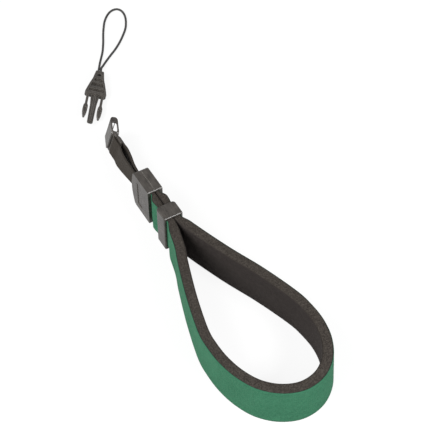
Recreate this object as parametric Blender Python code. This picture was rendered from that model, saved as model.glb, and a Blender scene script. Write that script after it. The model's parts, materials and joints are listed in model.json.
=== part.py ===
"""Camera wrist strap with a two-part quick-release buckle, lying as it rests on a table.

A soft laminated band runs out of a clamp, through a sliding keeper, round the
wrist loop and back into the clamp. A short webbing leads from the clamp to the
buckle's socket. The buckle's plug lies apart, with the thin cord loop that is
tied to the camera.

Lengths are metres. The clamp stands at the plan's zero, the wrist loop runs
towards -Y and the buckle towards +Y. The last step moves everything so that
the origin is the middle of the footprint, on the surface the strap lies on.
"""

import math

import bmesh
import bpy
from mathutils import Matrix, Vector

MM = 0.001

# Band: a foam core with a knitted facing outside and a lining inside
BAND_WIDTH = 25.0 * MM
BAND_THICKNESS = 6.1 * MM
FACING_THICKNESS = 0.5 * MM
LINING_THICKNESS = 0.5 * MM
LAMINATE_GAP = 0.15 * MM
SKIN_INSET = 0.1 * MM
SEAM_GAP = 0.3 * MM

# How far the foam is squeezed where the hard pieces hold it
BAND_IN_CLAMP = 2.6 * MM
BAND_IN_NECK = 4.8 * MM
BAND_IN_SLIDER = 4.3 * MM
NECK_SWELL = 5.5 * MM
BAND_EDGE_SQUEEZE = 0.6 * MM
SWELL_LENGTH = 9.0 * MM

# Wrist loop, measured along the band's middle from the slider's front
LOOP_LENGTH = 127.0 * MM
LOOP_WIDTH = 55.3 * MM
LOOP_FLARE = 1.9 * MM
LOOP_FLARE_ONSET = 1.6
LOOP_LEAD_LENGTH = 2.0 * MM
LOOP_LEAD_SPREAD = 0.1 * MM
LOOP_STATIONS = 92

# Shape of the loop as shares of its width and length, from the left leg round to the right
LOOP_SHAPE = (
    (-0.083, 0.076), (-0.132, 0.160), (-0.201, 0.242), (-0.322, 0.408), (-0.418, 0.577),
    (-0.432, 0.664), (-0.416, 0.750), (-0.363, 0.835), (-0.269, 0.911), (-0.121, 0.969),
    (0.065, 0.999), (0.260, 0.987), (0.421, 0.936), (0.523, 0.861), (0.568, 0.777),
    (0.564, 0.690), (0.528, 0.604), (0.401, 0.439), (0.248, 0.278), (0.112, 0.114),
)

# Hard pieces
FIT_CLEARANCE = 0.3 * MM
GRIP_CLEARANCE = 0.25 * MM
CLAMP_WALL = 1.75 * MM
SLIDER_WALL = 1.15 * MM
END_WALL = 1.05 * MM

CLAMP_LENGTH = 16.5 * MM
CLAMP_REAR_BULGE = 4.4 * MM
CLAMP_REAR_CORNER = 2.4 * MM
CLAMP_FRONT_CORNER = 0.8 * MM
CLAMP_CORNER_TURN = 65
CLAMP_CORNER_BLEND = 4
CLAMP_EDGE = 0.9 * MM
CLAMP_REAR_EDGE = 2.0 * MM
SHELL_SPLIT = 0.2 * MM
PANEL_DEPTH = 0.35 * MM
PANEL_START = 0.0 * MM
PANEL_LENGTH = 5.6 * MM
PANEL_MARGIN = 4.0 * MM
BAND_TAIL = 9.4 * MM

SLIDER_LENGTH = 10.3 * MM
SLIDER_GAP = 11.4 * MM
SLIDER_REAR_CORNER = 1.9 * MM
SLIDER_EDGE = 0.8 * MM

PEG_RADIUS = 1.0 * MM
PEG_SEAT_DEPTH = 0.5 * MM
BAND_PEG_SPREAD = 12.0 * MM
WEB_PEG_SPREAD = 7.0 * MM
BAND_PEG_INSET = 4.6 * MM
WEB_PEG_INSET = 4.4 * MM

# Webbing from the clamp round the socket's bar and back
WEB_WIDTH = 12.7 * MM
WEB_THICKNESS = 1.3 * MM
WEB_END_GAP = 0.6 * MM
WEB_TURN_LEAD = (3.0 * MM, 1.0 * MM, 0.0 * MM)

# Its way between clamp and bar: share of the way, sideways and upwards in mm, share of the bar's lean
WEB_NEAR_WAY = ((0.293, -0.79, 0.60, 0.13), (0.574, -0.95, 0.66, 0.32), (0.822, -1.45, 0.30, 0.60))
WEB_FAR_WAY = ((0.291, -0.35, 0.47, 0.13), (0.555, 0.80, 0.54, 0.29), (0.818, 1.35, -0.10, 0.50))

# Socket of the buckle, standing on edge and leaning
SOCKET_BODY_LENGTH = 13.9 * MM
SOCKET_WALL = 1.0 * MM
SOCKET_RAIL = 1.15 * MM
SOCKET_REAR_WALL = 1.6 * MM
SOCKET_MOUTH_CORNER = 0.7 * MM
SOCKET_REAR_CORNER = 3.4 * MM
SOCKET_MOUTH_ROUND = 2.6 * MM
SOCKET_REAR_ROUND = 0.8 * MM
SOCKET_EDGE = 0.3 * MM
SOCKET_WINDOW_LENGTH = 8.0 * MM
SOCKET_WINDOW_WIDTH = 2.9 * MM
SOCKET_MOUTH_BAND = 4.3 * MM
SOCKET_FAR_WINDOW_START = 3.6 * MM
SOCKET_FAR_WINDOW_BAND = 0.9 * MM
SOCKET_FAR_WINDOW_DEPTH = 9.6 * MM
SOCKET_PLACE = (2.7 * MM, 52.1 * MM)
SOCKET_LIFT = 1.35 * MM
SOCKET_HEADING = 22.5
SOCKET_LEAN = 16.7
SOCKET_KINK = 24.0
BAR_THICKNESS = 1.6 * MM
BAR_LENGTH = 5.4 * MM
BAR_CORNER = 1.5 * MM
BAR_EDGE = 0.3 * MM

# Plug of the buckle, lying on its right edge
PLUG_LENGTH = 21.2 * MM
PLUG_WIDTH = 13.6 * MM
PLUG_THICKNESS = 4.2 * MM
PLUG_NOSE_WIDTH = 5.4 * MM
PLUG_BASE_CORNER = 1.5 * MM
PLUG_NOSE_CORNER = 0.8 * MM
PLUG_EDGE = 0.6 * MM
PLUG_RIM = 1.3 * MM
PLUG_FIELD_DEPTH = 1.0 * MM
TONGUE_LENGTH = 23.6 * MM
TONGUE_BASE_WIDTH = 5.4 * MM
TONGUE_WAIST_WIDTH = 4.1 * MM
TONGUE_WAIST = 8.0 * MM
TONGUE_TIP_WIDTH = 3.6 * MM
TONGUE_TIP_CORNER = 0.8 * MM
TONGUE_THICKNESS = 1.5 * MM
TONGUE_RIDGE_WIDTH = 1.2 * MM
TONGUE_RIDGE_HEIGHT = 0.45 * MM
PRONG_ROOT = 2.0 * MM
PRONG_PLAY = 0.5 * MM
PRONG_STEM_WIDTH = 1.6 * MM
PRONG_THICKNESS = 2.1 * MM
PRONG_LENGTH = 19.4 * MM
LEAF_LENGTH = 10.8 * MM
LEAF_WIDTH = 3.1 * MM
LEAF_TIP_WIDTH = 0.9 * MM
LEAF_FIELD_SHARE = 0.55
LEAF_FIELD_DEPTH = 0.35 * MM
PLUG_PLACE = (13.2 * MM, 98.3 * MM)
PLUG_HEADING = 34.5
PLUG_ROLL = 14.0

# Sides of the plug's body: share of its length, share of the way from the nose's width to the base's
PLUG_SIDE = ((0.0, 1.0), (0.25, 0.80), (0.42, 0.59), (0.66, 0.24), (1.0, 0.0))

# Sunk fields of the plug's faces as shares of the body's length, with cross bars left between them
PLUG_FIELDS = ((0.09, 0.21), (0.29, 0.46), (0.53, 0.65))

# Catch of a prong: share of its length from the shoulder, share of its width
LEAF_SIDE = ((0.07, 0.70), (0.20, 0.94), (0.38, 1.0), (0.56, 0.93), (0.74, 0.76), (0.90, 0.50))

# Cord loop, tied off in a window in the plug's nose
CORD_DIAMETER = 1.5 * MM
CORD_STEP = 2.0 * CORD_DIAMETER
KNOT_RADIUS = 1.2 * MM
KNOT_FROM_NOSE = 4.2 * MM
CORD_SPREAD = 0.1 * MM
CORD_POINTS_MM = (
    (23.00, 113.94, 3.88), (24.17, 115.64, 3.88), (25.90, 118.80, 3.25), (28.10, 122.70, 1.75),
    (30.60, 126.80, 0.95), (34.20, 131.80, 0.80), (37.10, 136.00, 0.80), (41.20, 143.30, 0.80),
    (45.00, 150.90, 0.80), (48.30, 156.80, 0.80), (51.80, 162.20, 0.80), (56.40, 167.00, 0.80),
    (60.60, 169.30, 0.80), (64.20, 169.00, 0.80), (66.10, 166.30, 0.80), (66.30, 162.60, 0.80),
    (65.40, 158.40, 0.80), (63.30, 153.50, 0.80), (60.40, 148.60, 0.80), (56.20, 143.70, 0.80),
    (50.80, 138.30, 0.80), (44.90, 133.40, 0.80), (39.80, 129.90, 0.80), (34.90, 126.30, 0.90),
    (31.00, 122.90, 1.50), (28.40, 120.20, 2.45), (25.45, 114.76, 3.49), (24.28, 113.06, 3.49),
)

# Steps of curves and sides of round pegs
BAND_CURVE_STEPS = 12
WEB_CURVE_STEPS = 4
WEB_TURN_STEPS = 6
CORD_CURVE_STEPS = 12
PEG_SIDES = 12
WINDOW_SIDES = 16

# Worked out from the sizes above
BAND_IN_SLIDER_WIDTH = BAND_WIDTH - 2 * BAND_EDGE_SQUEEZE
HARD_HEIGHT = BAND_IN_SLIDER_WIDTH + 2 * FIT_CLEARANCE + 2 * END_WALL
MID_HEIGHT = HARD_HEIGHT / 2
CLAMP_HALF = SEAM_GAP / 2 + BAND_IN_CLAMP + GRIP_CLEARANCE + CLAMP_WALL
CLAMP_FRONT = -CLAMP_LENGTH / 2
CLAMP_REAR = CLAMP_LENGTH / 2
BAND_END = CLAMP_FRONT + BAND_TAIL
SLIDER_HALF = SEAM_GAP / 2 + BAND_IN_SLIDER + FIT_CLEARANCE + SLIDER_WALL
SLIDER_REAR = CLAMP_FRONT - SLIDER_GAP
SLIDER_FRONT = SLIDER_REAR - SLIDER_LENGTH
WEB_END = BAND_END + WEB_END_GAP
WEB_LAYER = SEAM_GAP / 2 + WEB_THICKNESS / 2
WEB_POCKET_HALF = SEAM_GAP / 2 + WEB_THICKNESS + GRIP_CLEARANCE
POCKET_STEP = BAND_END + WEB_END_GAP / 2
PEG_HOLE_RADIUS = PEG_RADIUS + FIT_CLEARANCE
BAND_PEG_Y = CLAMP_FRONT + BAND_PEG_INSET
WEB_PEG_Y = WEB_END + WEB_PEG_INSET
SOCKET_WIDTH = WEB_WIDTH + 2 * FIT_CLEARANCE + 2 * SOCKET_RAIL
SOCKET_CAVITY_HALF = SOCKET_WIDTH / 2 - SOCKET_RAIL
SOCKET_CAVITY_THICKNESS = TONGUE_THICKNESS + 2 * TONGUE_RIDGE_HEIGHT + FIT_CLEARANCE
SOCKET_THICKNESS = SOCKET_CAVITY_THICKNESS + 2 * SOCKET_WALL
PRONG_OFFSET = SOCKET_CAVITY_HALF - PRONG_PLAY - LEAF_WIDTH / 2
WEB_SLOT = WEB_THICKNESS + 3 * FIT_CLEARANCE
WEB_TURN_INSET = 1.5 * FIT_CLEARANCE
WEB_EXIT = CLAMP_REAR + CLAMP_REAR_BULGE
BAR_FRONT = -(FIT_CLEARANCE + WEB_SLOT)
BAR_REAR = BAR_FRONT - BAR_LENGTH
KNOT_Y = PLUG_LENGTH - KNOT_FROM_NOSE
WINDOW_RADIUS = KNOT_RADIUS + FIT_CLEARANCE


def clear_scene():
    for old in list(bpy.data.objects):
        bpy.data.objects.remove(old, do_unlink=True)


def make_material(name, colour, roughness):
    """Return a Principled material of one colour."""
    material = bpy.data.materials.new(name)
    material.use_nodes = True
    shader = material.node_tree.nodes["Principled BSDF"]
    shader.inputs["Base Color"].default_value = (*colour, 1.0)
    shader.inputs["Roughness"].default_value = roughness
    shader.inputs["Metallic"].default_value = 0.0
    return material


def add_object(name, mesh_data, material, parent):
    """Put a mesh into the scene under an empty."""
    piece = bpy.data.objects.new(name, mesh_data)
    bpy.context.scene.collection.objects.link(piece)
    piece.parent = parent
    if material:
        mesh_data.materials.append(material)
    return piece


def add_empty(name, parent=None):
    empty = bpy.data.objects.new(name, None)
    bpy.context.scene.collection.objects.link(empty)
    empty.parent = parent
    return empty


def finish_mesh(name, bm):
    """Point all faces outwards and turn a bmesh into mesh data."""
    bmesh.ops.recalc_face_normals(bm, faces=bm.faces)
    mesh_data = bpy.data.meshes.new(name)
    bm.to_mesh(mesh_data)
    bm.free()
    return mesh_data


def prism(name, outline, low, high, axis):
    """Extrude an outline along X or Z between two levels."""
    bm = bmesh.new()
    rings = []
    for level in (low, high):
        corners = [(level, a, b) if axis == "X" else (a, b, level) for a, b in outline]
        rings.append([bm.verts.new(corner) for corner in corners])
    bm.faces.new(rings[0])
    bm.faces.new(rings[1])
    count = len(outline)
    for i in range(count):
        j = (i + 1) % count
        bm.faces.new((rings[0][i], rings[0][j], rings[1][j], rings[1][i]))
    return finish_mesh(name, bm)


def box(name, low, high):
    outline = ((low[0], low[1]), (high[0], low[1]), (high[0], high[1]), (low[0], high[1]))
    return prism(name, outline, low[2], high[2], "Z")


def cylinder(name, radius, low, high, centre, axis, sides):
    """A round bar along an axis, centred on two coordinates of the other two axes."""
    outline = []
    for i in range(sides):
        turn = 2 * math.pi * i / sides
        outline.append((centre[0] + radius * math.cos(turn), centre[1] + radius * math.sin(turn)))
    return prism(name, outline, low, high, axis)


def arc(centre, radius, start, end, steps):
    """Points on an arc, both ends included, angles in degrees."""
    points = []
    for i in range(steps + 1):
        turn = math.radians(start + (end - start) * i / steps)
        points.append((centre[0] + radius * math.cos(turn), centre[1] + radius * math.sin(turn)))
    return points


def add_bevel(piece, width, segments):
    bevel = piece.modifiers.new("Rounded edges", "BEVEL")
    bevel.width = width
    bevel.segments = segments
    bevel.limit_method = "ANGLE"
    bevel.angle_limit = math.radians(50)


def add_boolean(piece, mesh_data, operation, label):
    """Cut or join with a guide object that the build leaves out."""
    guide = add_object(f"{piece.name}_{label}", mesh_data, None, piece)
    guide.hide_render = True
    guide.display_type = "WIRE"
    boolean = piece.modifiers.new(label, "BOOLEAN")
    boolean.operation = operation
    boolean.solver = "EXACT"
    boolean.object = guide
    return guide


def shade(piece, angle=35):
    piece.data.shade_smooth()
    piece.data.set_sharp_from_angle(angle=math.radians(angle))


def ease(share):
    """Smooth step from 0 to 1."""
    share = min(max(share, 0.0), 1.0)
    return share * share * (3 - 2 * share)


def smooth_curve(points, steps):
    """Catmull-Rom curve through points, with the ends repeated."""
    padded = [points[0] * 2 - points[1], *points, points[-1] * 2 - points[-2]]
    result = []
    for i in range(1, len(padded) - 2):
        p0, p1, p2, p3 = padded[i - 1:i + 3]
        for k in range(steps):
            t = k / steps
            result.append(
                0.5 * (2 * p1 + (p2 - p0) * t
                       + (2 * p0 - 5 * p1 + 4 * p2 - p3) * t * t
                       + (3 * p1 - 3 * p2 + p3 - p0) * t * t * t)
            )
    result.append(points[-1].copy())
    return result


def resample(points, count):
    """Points evenly spaced along a polyline, both ends kept."""
    lengths = [0.0]
    for a, b in zip(points, points[1:]):
        lengths.append(lengths[-1] + (b - a).length)
    result = []
    k = 0
    for i in range(count):
        want = lengths[-1] * i / (count - 1)
        while k < len(lengths) - 2 and lengths[k + 1] < want:
            k += 1
        span = lengths[k + 1] - lengths[k]
        result.append(points[k].lerp(points[k + 1], (want - lengths[k]) / span))
    return result


def strip(name, sections):
    """A closed solid through four-cornered sections, capped at both ends."""
    bm = bmesh.new()
    rings = [[bm.verts.new(corner) for corner in section] for section in sections]
    for a, b in zip(rings, rings[1:]):
        for i in range(4):
            j = (i + 1) % 4
            bm.faces.new((a[i], a[j], b[j], b[i]))
    bm.faces.new(rings[0])
    bm.faces.new(rings[-1])
    return finish_mesh(name, bm)


def held_thickness(y):
    """Thickness of one band layer between the clamp and the slider's front."""
    from_clamp = ease((CLAMP_FRONT - y) / NECK_SWELL)
    from_slider = ease((y - SLIDER_REAR) / NECK_SWELL)
    out_of_clamp = BAND_IN_CLAMP + (BAND_IN_NECK - BAND_IN_CLAMP) * from_clamp
    out_of_slider = BAND_IN_SLIDER + (BAND_IN_NECK - BAND_IN_SLIDER) * from_slider
    return min(out_of_clamp, out_of_slider)


def held_stations():
    """Rows of the left layer from its end in the clamp to the slider's front."""
    stops = (
        (BAND_END, CLAMP_FRONT, 3),
        (CLAMP_FRONT, SLIDER_REAR, 10),
        (SLIDER_REAR, SLIDER_FRONT, 4),
    )
    rows = []
    for start, end, steps in stops:
        for k in range(steps):
            rows.append(start + (end - start) * k / steps)
    return rows


def band_stations():
    """Centre, outward normal, thickness, low edge, high edge and flare along the band."""
    held_low = END_WALL + FIT_CLEARANCE
    held_high = HARD_HEIGHT - held_low
    left = []
    for y in held_stations():
        thickness = held_thickness(y)
        centre = Vector((-(SEAM_GAP + thickness) / 2, y))
        left.append((centre, Vector((-1, 0)), thickness, held_low, held_high, 0.0))

    layer = (SEAM_GAP + BAND_IN_SLIDER) / 2
    lead = SLIDER_FRONT - LOOP_LEAD_LENGTH
    shape = [Vector((-layer, SLIDER_FRONT)), Vector((-layer - LOOP_LEAD_SPREAD, lead))]
    for x_share, y_share in LOOP_SHAPE:
        shape.append(Vector((x_share * LOOP_WIDTH, SLIDER_FRONT - y_share * LOOP_LENGTH)))
    shape.append(Vector((layer + LOOP_LEAD_SPREAD, lead)))
    shape.append(Vector((layer, SLIDER_FRONT)))
    line = resample(smooth_curve(shape, BAND_CURVE_STEPS), LOOP_STATIONS)
    length = sum((b - a).length for a, b in zip(line, line[1:]))

    loop = []
    for i, centre in enumerate(line):
        before = line[max(i - 1, 0)]
        after = line[min(i + 1, len(line) - 1)]
        along = (after - before).normalized()
        outward = Vector((along.y, -along.x))
        if i == 0:
            outward = Vector((-1, 0))
        if i == len(line) - 1:
            outward = Vector((1, 0))
        share = i / (len(line) - 1)
        from_slider = min(share, 1 - share) * length
        free = ease(from_slider / SWELL_LENGTH)
        settled = ease(2 * min(share, 1 - share))
        thickness = BAND_IN_SLIDER + (BAND_THICKNESS - BAND_IN_SLIDER) * free
        width = BAND_IN_SLIDER_WIDTH + (BAND_WIDTH - BAND_IN_SLIDER_WIDTH) * free
        middle = MID_HEIGHT + (BAND_WIDTH / 2 - MID_HEIGHT) * settled
        flare = LOOP_FLARE * math.sin(math.pi * ease(share)) ** 2 * ease(share * LOOP_FLARE_ONSET)
        loop.append((centre, outward, thickness, middle - width / 2, middle + width / 2, flare))

    right = []
    for centre, outward, thickness, low, high, flare in reversed(left):
        right.append((Vector((-centre.x, centre.y)), -outward, thickness, low, high, flare))
    return left + loop + right


def band_layer(name, stations, inner_of, outer_of, inset):
    """One layer of the band between two depths counted from the band's middle."""
    sections = []
    for centre, outward, thickness, low, high, flare in stations:
        corners = []
        for depth, height, spread in (
            (inner_of(thickness), low + inset, flare),
            (outer_of(thickness), low + inset, flare),
            (outer_of(thickness), high - inset, 0.0),
            (inner_of(thickness), high - inset, 0.0),
        ):
            flat = centre + outward * (depth + spread)
            corners.append((flat.x, flat.y, height))
        sections.append(corners)
    return strip(name, sections)


def peg_places(y, spread):
    return [(y, MID_HEIGHT - spread / 2), (y, MID_HEIGHT + spread / 2)]


def build_band(root, foam_material, facing_material, lining_material):
    stations = band_stations()
    foam_in = LINING_THICKNESS + LAMINATE_GAP
    foam_out = FACING_THICKNESS + LAMINATE_GAP
    layers = (
        ("band_foam", foam_material, lambda t: -t / 2 + foam_in, lambda t: t / 2 - foam_out, 0.0),
        ("band_facing", facing_material, lambda t: t / 2 - FACING_THICKNESS, lambda t: t / 2, SKIN_INSET),
        ("band_lining", lining_material, lambda t: -t / 2, lambda t: -t / 2 + LINING_THICKNESS, SKIN_INSET),
    )
    for name, material, inner_of, outer_of, inset in layers:
        piece = add_object(name, band_layer(name, stations, inner_of, outer_of, inset), material, root)
        for i, place in enumerate(peg_places(BAND_PEG_Y, BAND_PEG_SPREAD)):
            hole = cylinder("hole", PEG_HOLE_RADIUS, -CLAMP_HALF, CLAMP_HALF, place, "X", PEG_SIDES)
            add_boolean(piece, hole, "DIFFERENCE", f"peg_hole_{i}")
        shade(piece)


def clamp_outline():
    """Side view of the clamp in Y and Z: flat front, rear end bulged with round corners."""
    small = CLAMP_FRONT_CORNER
    corner = CLAMP_REAR_CORNER
    bulge = CLAMP_REAR_BULGE - corner
    chord = HARD_HEIGHT - 2 * corner
    radius = (chord * chord / 4 + bulge * bulge) / (2 * bulge)
    half_turn = math.degrees(math.asin(chord / 2 / radius)) - CLAMP_CORNER_BLEND
    middle = CLAMP_REAR + CLAMP_REAR_BULGE - radius
    points = arc((CLAMP_FRONT + small, HARD_HEIGHT - small), small, 90, 180, 3)
    points += arc((CLAMP_FRONT + small, small), small, 180, 270, 3)
    points += arc((CLAMP_REAR, corner), corner, -90, CLAMP_CORNER_TURN - 90, 4)
    points += arc((middle, MID_HEIGHT), radius, -half_turn, half_turn, 8)
    points += arc((CLAMP_REAR, HARD_HEIGHT - corner), corner, 90 - CLAMP_CORNER_TURN, 90, 4)
    return points


def build_clamp(root, material):
    """Two moulded shells. The left one's pegs go through the band and the webbing."""
    band_half = CLAMP_HALF - CLAMP_WALL
    low = END_WALL
    high = HARD_HEIGHT - END_WALL
    web_low = MID_HEIGHT - WEB_WIDTH / 2 - FIT_CLEARANCE
    web_high = MID_HEIGHT + WEB_WIDTH / 2 + FIT_CLEARANCE
    beyond = CLAMP_LENGTH
    for name, side in (("clamp_shell_left", -1), ("clamp_shell_right", 1)):
        split = side * SHELL_SPLIT / 2
        face = side * CLAMP_HALF
        half_shell = prism(name, clamp_outline(), min(split, face), max(split, face), "X")
        shell = add_object(name, half_shell, material, root)
        edge = shell.data.attributes.new("bevel_weight_edge", "FLOAT", "EDGE")
        for item in shell.data.edges:
            ends = [shell.data.vertices[v].co for v in item.vertices]
            if any(abs(end.x - face) > MM / 100 for end in ends):
                continue
            at_rear = min(end.y for end in ends) > CLAMP_REAR
            edge.data[item.index].value = 1.0 if at_rear else CLAMP_EDGE / CLAMP_REAR_EDGE
        rounding = shell.modifiers.new("Rounded face", "BEVEL")
        rounding.width = CLAMP_REAR_EDGE
        rounding.segments = 4
        rounding.limit_method = "WEIGHT"

        band_pocket = box("band_pocket", (-band_half, CLAMP_FRONT - beyond, low),
                          (band_half, POCKET_STEP, high))
        add_boolean(shell, band_pocket, "DIFFERENCE", "band_pocket")
        web_pocket = box("web_pocket", (-WEB_POCKET_HALF, BAND_END, web_low),
                         (WEB_POCKET_HALF, CLAMP_REAR + beyond, web_high))
        add_boolean(shell, web_pocket, "DIFFERENCE", "web_pocket")

        panel_floor = side * (CLAMP_HALF - PANEL_DEPTH)
        panel_out = side * (CLAMP_HALF + beyond)
        panel = box("panel",
                    (min(panel_floor, panel_out), PANEL_START, PANEL_MARGIN),
                    (max(panel_floor, panel_out), PANEL_START + PANEL_LENGTH, HARD_HEIGHT - PANEL_MARGIN))
        add_boolean(shell, panel, "DIFFERENCE", "panel")

        pegs = [(place, band_half) for place in peg_places(BAND_PEG_Y, BAND_PEG_SPREAD)]
        pegs += [(place, WEB_POCKET_HALF) for place in peg_places(WEB_PEG_Y, WEB_PEG_SPREAD)]
        for i, (place, wall) in enumerate(pegs):
            if side < 0:
                tip = wall + PEG_SEAT_DEPTH - FIT_CLEARANCE / 2
                peg = cylinder("peg", PEG_RADIUS, -wall - CLAMP_WALL / 2, tip, place, "X", PEG_SIDES)
                add_boolean(shell, peg, "UNION", f"peg_{i}")
            else:
                deep = wall + PEG_SEAT_DEPTH
                seat = cylinder("seat", PEG_HOLE_RADIUS, 0.0, deep, place, "X", PEG_SIDES)
                add_boolean(shell, seat, "DIFFERENCE", f"peg_seat_{i}")
        shade(shell)


def build_slider(root, material):
    """One moulded ring, rounder at its rear, that slides along both band layers."""
    corner = SLIDER_REAR_CORNER
    small = SLIDER_EDGE
    middle = (SLIDER_REAR + SLIDER_FRONT) / 2
    half = SLIDER_LENGTH / 2
    outline = arc((SLIDER_HALF - corner, half - corner), corner, 0, 90, 5)
    outline += arc((-SLIDER_HALF + corner, half - corner), corner, 90, 180, 5)
    outline += arc((-SLIDER_HALF + small, -half + small), small, 180, 270, 3)
    outline += arc((SLIDER_HALF - small, -half + small), small, 270, 360, 3)
    slider = add_object("slider", prism("slider", outline, 0.0, HARD_HEIGHT, "Z"), material, root)
    slider.location = (0.0, middle, 0.0)
    edge = slider.data.attributes.new("bevel_weight_edge", "FLOAT", "EDGE")
    for item in slider.data.edges:
        heights = {round(slider.data.vertices[v].co.z / MM, 2) for v in item.vertices}
        edge.data[item.index].value = 1.0 if len(heights) == 1 else 0.0
    rounding = slider.modifiers.new("Rounded rims", "BEVEL")
    rounding.width = SLIDER_EDGE
    rounding.segments = 3
    rounding.limit_method = "WEIGHT"
    inside = SLIDER_HALF - SLIDER_WALL
    slot = box("slot", (-inside, -SLIDER_LENGTH, END_WALL), (inside, SLIDER_LENGTH, HARD_HEIGHT - END_WALL))
    add_boolean(slider, slot, "DIFFERENCE", "slot")
    shade(slider)


def socket_frame():
    """The socket's own axes: X across its thickness, Y to the mouth, Z up its width."""
    heading = Matrix.Rotation(math.radians(-SOCKET_HEADING), 4, "Z")
    lean = Matrix.Rotation(math.radians(SOCKET_LEAN), 4, "Y")
    reach = SOCKET_WIDTH / 2 * math.cos(math.radians(SOCKET_LEAN))
    reach += SOCKET_THICKNESS / 2 * math.sin(math.radians(SOCKET_LEAN))
    return Matrix.Translation((*SOCKET_PLACE, SOCKET_LIFT + reach)) @ heading @ lean


def bar_frame():
    """The same axes turned by the kink at the socket's rear, where the bar is."""
    return socket_frame() @ Matrix.Rotation(math.radians(SOCKET_KINK), 4, "Z")


def build_socket(root, material):
    """Buckle socket: hollow body, side windows for the catches, and a bar for the webbing."""
    half_width = SOCKET_WIDTH / 2
    half_thick = SOCKET_THICKNESS / 2
    frame = add_empty("socket_frame", root)
    frame.matrix_local = socket_frame()

    side_view = []
    for x, y in arc((0.0, 0.0), 1.0, 0, 180, 12):
        side_view.append((half_thick * x, SOCKET_BODY_LENGTH - SOCKET_MOUTH_ROUND * (1 - y)))
    side_view += arc((-half_thick + SOCKET_REAR_ROUND, SOCKET_REAR_ROUND), SOCKET_REAR_ROUND, 180, 270, 3)
    side_view += arc((half_thick - SOCKET_REAR_ROUND, SOCKET_REAR_ROUND), SOCKET_REAR_ROUND, 270, 360, 3)
    socket = add_object("socket", prism("socket", side_view, -half_width, half_width, "Z"), material, frame)
    add_bevel(socket, SOCKET_EDGE, 2)

    big = SOCKET_MOUTH_CORNER
    small = SOCKET_REAR_CORNER
    outline = arc((SOCKET_BODY_LENGTH - big, half_width - big), big, 0, 90, 5)
    outline += arc((small, half_width - small), small, 90, 180, 5)
    outline += arc((small, -half_width + small), small, 180, 270, 5)
    outline += arc((SOCKET_BODY_LENGTH - big, -half_width + big), big, 270, 360, 5)
    broad_view = prism("broad_view", outline, -SOCKET_THICKNESS, SOCKET_THICKNESS, "X")
    add_boolean(socket, broad_view, "INTERSECT", "rounded_corners")

    bar_half = BAR_THICKNESS / 2
    round_off = BAR_CORNER
    plate = arc((round_off, half_width - round_off), round_off, 0, 90, 2)
    plate += arc((BAR_REAR + round_off, half_width - round_off), round_off, 90, 180, 4)
    plate += arc((BAR_REAR + round_off, -half_width + round_off), round_off, 180, 270, 4)
    plate += arc((round_off, -half_width + round_off), round_off, 270, 360, 2)
    bar = add_boolean(socket, prism("bar", plate, -bar_half, bar_half, "X"), "UNION", "bar_plate")
    add_bevel(bar, BAR_EDGE, 2)
    bar.rotation_euler.z = math.radians(SOCKET_KINK)

    slot_half = WEB_WIDTH / 2 + FIT_CLEARANCE
    slot = box("slot", (-SOCKET_THICKNESS, BAR_FRONT, -slot_half),
               (SOCKET_THICKNESS, -FIT_CLEARANCE, slot_half))
    slot_guide = add_boolean(socket, slot, "DIFFERENCE", "web_slot")
    slot_guide.rotation_euler.z = math.radians(SOCKET_KINK)

    cavity_thick = SOCKET_CAVITY_THICKNESS / 2
    cavity = box("cavity", (-cavity_thick, SOCKET_REAR_WALL, -SOCKET_CAVITY_HALF),
                 (cavity_thick, SOCKET_BODY_LENGTH * 2, SOCKET_CAVITY_HALF))
    add_boolean(socket, cavity, "DIFFERENCE", "cavity")

    window_half = SOCKET_WINDOW_WIDTH / 2
    window_end = SOCKET_BODY_LENGTH - SOCKET_MOUTH_BAND
    window_start = window_end - SOCKET_WINDOW_LENGTH
    window = arc((0.0, window_end - window_half), window_half, 0, 180, 6)
    window += arc((0.0, window_start + window_half), window_half, 180, 360, 6)
    add_boolean(socket, prism("windows", window, -SOCKET_WIDTH, SOCKET_WIDTH, "Z"), "DIFFERENCE", "windows")

    far_top = SOCKET_CAVITY_HALF
    far_window = box("far_window", (0.0, SOCKET_FAR_WINDOW_START, far_top - SOCKET_FAR_WINDOW_DEPTH),
                     (SOCKET_THICKNESS, SOCKET_BODY_LENGTH - SOCKET_FAR_WINDOW_BAND, far_top))
    add_boolean(socket, far_window, "DIFFERENCE", "far_window")
    shade(socket)


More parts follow.
